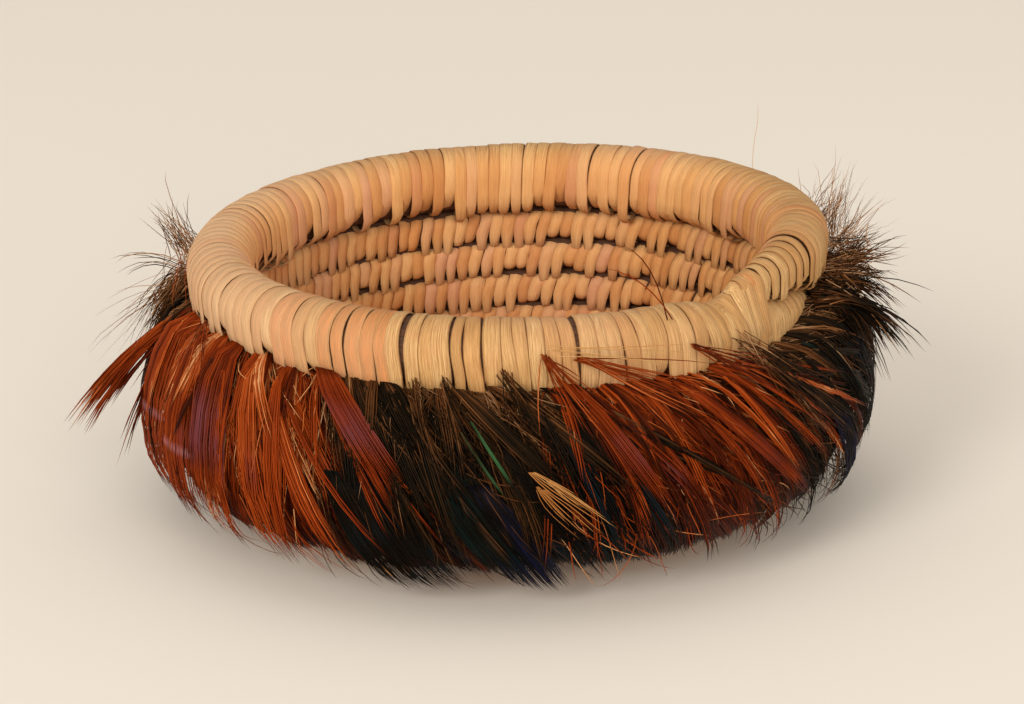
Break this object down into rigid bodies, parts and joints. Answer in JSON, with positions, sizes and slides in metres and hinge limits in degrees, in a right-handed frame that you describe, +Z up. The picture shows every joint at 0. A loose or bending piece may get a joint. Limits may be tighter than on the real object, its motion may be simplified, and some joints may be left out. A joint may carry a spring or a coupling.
{
  "type": "feathered coil basket",
  "caption": "Small round coiled basket with a thick wrapped rim, its outside covered by overlapping copper-red and dark green-black feathers.",
  "frame": {"origin": "middle of the flat underside, on the surface the basket stands on", "axes": "+Z up through the open mouth, -Y towards the front seen in the picture, +X to its right"},
  "size_m": [0.1233, 0.1068, 0.0444],
  "materials": {
    "straw": "matte split plant splint",
    "grass": "dry grass bundle",
    "copper_feather": "soft satin feather",
    "dark_feather": "dark feather with a blue and green sheen",
    "buff_feather": "pale satin feather"
  },
  "bodies": {
    "root": {"base_coil": "straw", "buff_feather_tuft_1": "buff_feather", "copper_back_left_lower_tuft_1": "copper_feather", "copper_back_left_lower_tuft_2": "copper_feather", "copper_back_left_upper_tuft_1": "copper_feather", "copper_back_left_upper_tuft_2": "copper_feather", "copper_back_left_upper_tuft_3": "copper_feather", "copper_back_right_lower_tuft_1": "copper_feather", "copper_back_right_lower_tuft_2": "copper_feather", "copper_back_right_upper_tuft_1": "copper_feather", "copper_back_right_upper_tuft_2": "copper_feather", "copper_back_right_upper_tuft_3": "copper_feather", "copper_left_lower_tuft_1": "copper_feather", "copper_left_lower_tuft_2": "copper_feather", "copper_left_upper_tuft_1": "copper_feather", "copper_left_upper_tuft_2": "copper_feather", "copper_left_upper_tuft_3": "copper_feather", "copper_right_lower_tuft_1": "copper_feather", "copper_right_lower_tuft_2": "copper_feather", "copper_right_lower_tuft_3": "copper_feather", "copper_right_upper_tuft_1": "copper_feather", "copper_right_upper_tuft_2": "copper_feather", "copper_right_upper_tuft_3": "copper_feather", "copper_spray_tuft_1": "copper_feather", "dark_back_lower_tuft_1": "dark_feather", "dark_back_lower_tuft_2": "dark_feather", "dark_back_lower_tuft_3": "dark_feather", "dark_back_upper_tuft_1": "dark_feather", "dark_back_upper_tuft_2": "dark_feather", "dark_back_upper_tuft_3": "dark_feather", "dark_front_lower_tuft_1": "dark_feather", "dark_front_lower_tuft_2": "dark_feather", "dark_front_upper_tuft_1": "dark_feather", "dark_front_upper_tuft_2": "dark_feather", "dark_front_upper_tuft_3": "dark_feather", "dark_left_lower_tuft_1": "dark_feather", "dark_left_lower_tuft_2": "dark_feather", "dark_left_lower_tuft_3": "dark_feather", "dark_left_upper_tuft_1": "dark_feather", "dark_left_upper_tuft_2": "dark_feather", "dark_left_upper_tuft_3": "dark_feather", "dark_left_upper_tuft_4": "dark_feather", "dark_right_lower_tuft_1": "dark_feather", "dark_right_lower_tuft_2": "dark_feather", "dark_right_lower_tuft_3": "dark_feather", "dark_right_upper_tuft_1": "dark_feather", "dark_right_upper_tuft_2": "dark_feather", "dark_right_upper_tuft_3": "dark_feather", "dark_spray_tuft_1": "dark_feather", "down_left_tuft_1": "dark_feather", "down_right_tuft_1": "dark_feather", "rim_foundation": "grass", "rim_wrapping": "straw", "start_knot": "grass", "wall_coil": "straw"}
  },
  "joints": []
}
